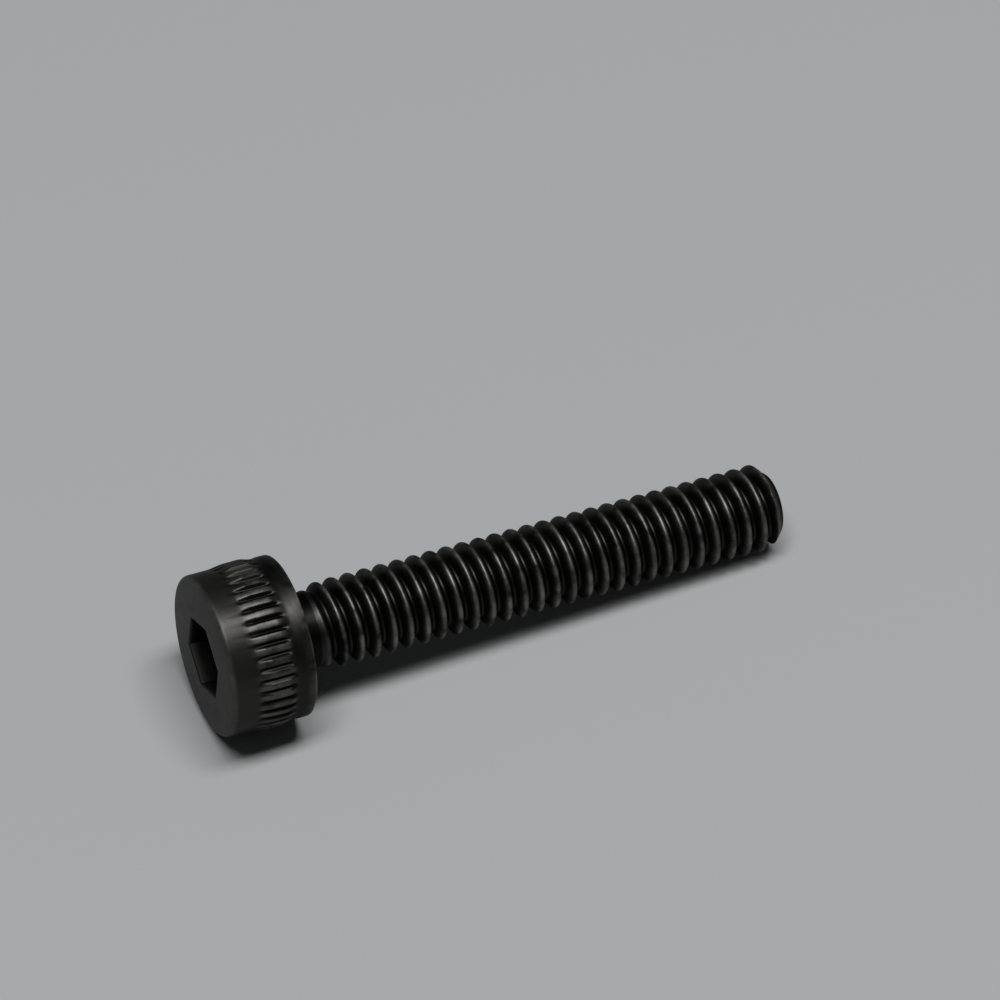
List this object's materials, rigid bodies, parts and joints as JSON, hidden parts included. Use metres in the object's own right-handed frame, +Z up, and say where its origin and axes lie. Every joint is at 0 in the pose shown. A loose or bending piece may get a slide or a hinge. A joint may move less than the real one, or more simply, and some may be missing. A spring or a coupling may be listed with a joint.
{
  "type": "hex socket cap screw",
  "caption": "Black oxide hex socket cap screw with a knurled cylindrical head, a short plain neck and a right-hand thread, lying on its side.",
  "frame": {"origin": "on the floor, under the middle of the screw as it lies at rest", "axes": "+X from the head towards the tip, +Z up; the screw's axis lies in the XZ plane and dips 4.28 degrees towards the tip"},
  "size_m": [0.0142, 0.0038, 0.0039],
  "materials": {
    "black_oxide_steel": "satin black oxide, lightly oiled, worn brighter on the ridges of the knurl"
  },
  "bodies": {
    "root": {"cap_screw": "black_oxide_steel"}
  },
  "joints": []
}
